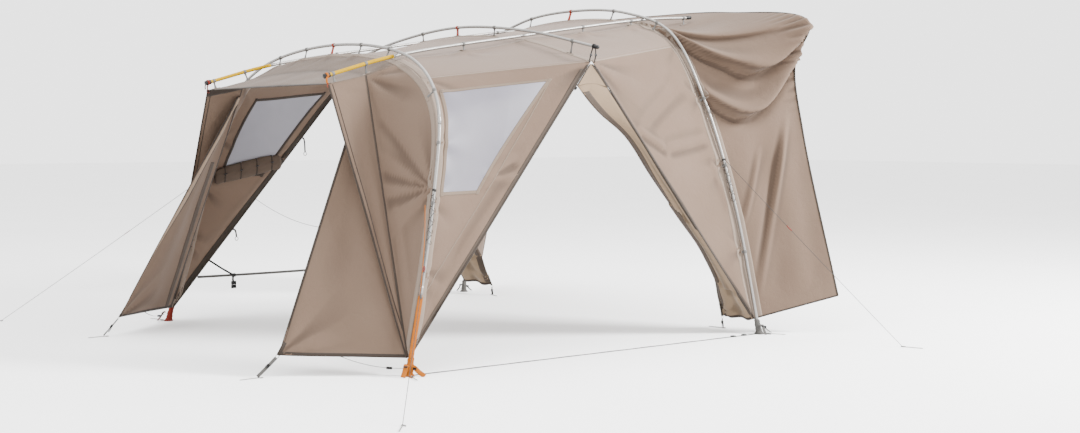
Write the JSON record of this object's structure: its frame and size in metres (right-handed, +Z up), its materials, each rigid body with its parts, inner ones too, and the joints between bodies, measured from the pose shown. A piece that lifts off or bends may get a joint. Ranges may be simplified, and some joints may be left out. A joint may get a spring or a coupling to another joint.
{
  "type": "drive-away campervan awning",
  "caption": "Pole-framed taupe fabric awning with arched poles, side windows, pegged front wings and side doors, guy lines and a sleeve to a van's side.",
  "frame": {"origin": "on the ground, at the centre of the awning's footprint measured without its guy lines", "axes": "+X out from the vehicle's side towards the front opening, +Y towards the near side, +Z up"},
  "size_m": [4.6113, 5.508, 2.4551],
  "materials": {
    "canvas": "matt woven taupe cloth",
    "canvas_pale": "matt woven taupe cloth, lit roof",
    "canvas_dark": "matt dark brown cloth",
    "window_film": "see-through grey film",
    "pole_grey": "satin",
    "pole_yellow": "satin yellow",
    "pole_orange": "satin orange",
    "black_plastic": "matt black",
    "red_webbing": "red webbing and cord runners",
    "grey_webbing": "grey webbing",
    "peg_steel": "dull steel wire",
    "guy_cord": "braided cord"
  },
  "bodies": {
    "shelter": {"roof": "canvas_pale", "front_canopy": "canvas", "near_window_wall": "canvas", "near_window": "window_film", "near_van_wall": "canvas", "near_front_corner": "canvas", "far_window_wall": "canvas", "far_window": "window_film", "far_van_wall": "canvas", "far_front_corner": "canvas", "near_sleeve": "canvas", "far_sleeve": "canvas", "near_foot_pole": "pole_orange", "near_outer_leg": "pole_grey", "near_van_leg": "pole_grey", "near_ridge_tip_pole": "pole_yellow", "near_ridge_pole": "pole_grey", "far_foot_pole": "pole_orange", "far_outer_leg": "pole_grey", "far_van_leg": "pole_grey", "far_ridge_tip_pole": "pole_yellow", "far_ridge_pole": "pole_grey", "outer_arch_crown": "pole_grey", "van_arch_crown": "pole_grey", "middle_pole": "pole_grey", "near_ridge_cap": "black_plastic", "near_ridge_tail": "black_plastic", "far_ridge_cap": "black_plastic", "far_ridge_tail": "black_plastic", "near_outer_foot": "pole_orange", "near_outer_peg": "peg_steel", "near_van_foot": "black_plastic", "near_van_peg": "peg_steel", "far_outer_foot": "pole_orange", "far_outer_peg": "peg_steel", "far_van_foot": "black_plastic", "far_van_peg": "peg_steel", "near_wing_peg": "peg_steel", "near_door_peg": "peg_steel", "far_wing_peg": "peg_steel", "far_door_peg": "peg_steel", "front_door_roll": "canvas_dark", "near_front_guy_line": "guy_cord", "near_front_guy_peg": "peg_steel", "far_front_guy_line": "guy_cord", "far_front_guy_peg": "peg_steel", "near_back_guy_line": "guy_cord", "near_back_guy_peg": "peg_steel", "near_ground_strap": "grey_webbing", "far_door_strap": "grey_webbing", "far_slack_cord": "guy_cord"},
    "near_front_wing": {"near_front_wing": "canvas"},
    "far_front_wing": {"far_front_wing": "canvas"},
    "near_door_leaf": {"near_door_leaf": "canvas"},
    "far_door_leaf": {"far_door_leaf": "canvas"},
    "near_front_runner": {"near_front_runner": "red_webbing"},
    "far_front_runner": {"far_front_runner": "red_webbing"},
    "near_back_runner": {"near_back_runner": "red_webbing"},
    "near_zip_slider": {"near_zip_slider": "black_plastic"},
    "far_zip_slider": {"far_zip_slider": "black_plastic"}
  },
  "joints": [
    {"name": "near_wing_swing", "type": "hinge", "parent": "shelter", "child": "near_front_wing", "pos_m": [1.30458, 1.6029, 0.1058], "axis": [-0.1213, -0.4139, 0.9022], "range_deg": [0, 12]},
    {"name": "near_door_swing", "type": "hinge", "parent": "shelter", "child": "near_door_leaf", "pos_m": [-1.66986, 1.75003, 0.1058], "axis": [-0.5977, 0.1077, -0.7945], "range_deg": [0, 20]},
    {"name": "far_wing_swing", "type": "hinge", "parent": "shelter", "child": "far_front_wing", "pos_m": [1.30458, -1.6029, 0.1058], "axis": [0.1213, -0.4139, -0.9022], "range_deg": [0, 12]},
    {"name": "far_door_swing", "type": "hinge", "parent": "shelter", "child": "far_door_leaf", "pos_m": [-1.66986, -1.75003, 0.1058], "axis": [0.5977, 0.1077, 0.7945], "range_deg": [0, 20]},
    {"name": "near_front_runner_slide", "type": "slide", "parent": "shelter", "child": "near_front_runner", "axis": [0.5543, 0.6273, -0.547], "range_m": [-0.2, 0.3]},
    {"name": "far_front_runner_slide", "type": "slide", "parent": "shelter", "child": "far_front_runner", "axis": [0.6643, -0.4723, -0.5793], "range_m": [-0.2, 0.3]},
    {"name": "near_back_runner_slide", "type": "slide", "parent": "shelter", "child": "near_back_runner", "axis": [-0.2145, 0.6963, -0.685], "range_m": [-0.2, 0.3]},
    {"name": "near_zip_slide", "type": "slide", "parent": "shelter", "child": "near_zip_slider", "axis": [0.6456, 0.0409, -0.7626], "range_m": [0, 1.9]},
    {"name": "far_zip_slide", "type": "slide", "parent": "shelter", "child": "far_zip_slider", "axis": [0.6456, -0.0409, -0.7626], "range_m": [0, 0.95]}
  ]
}
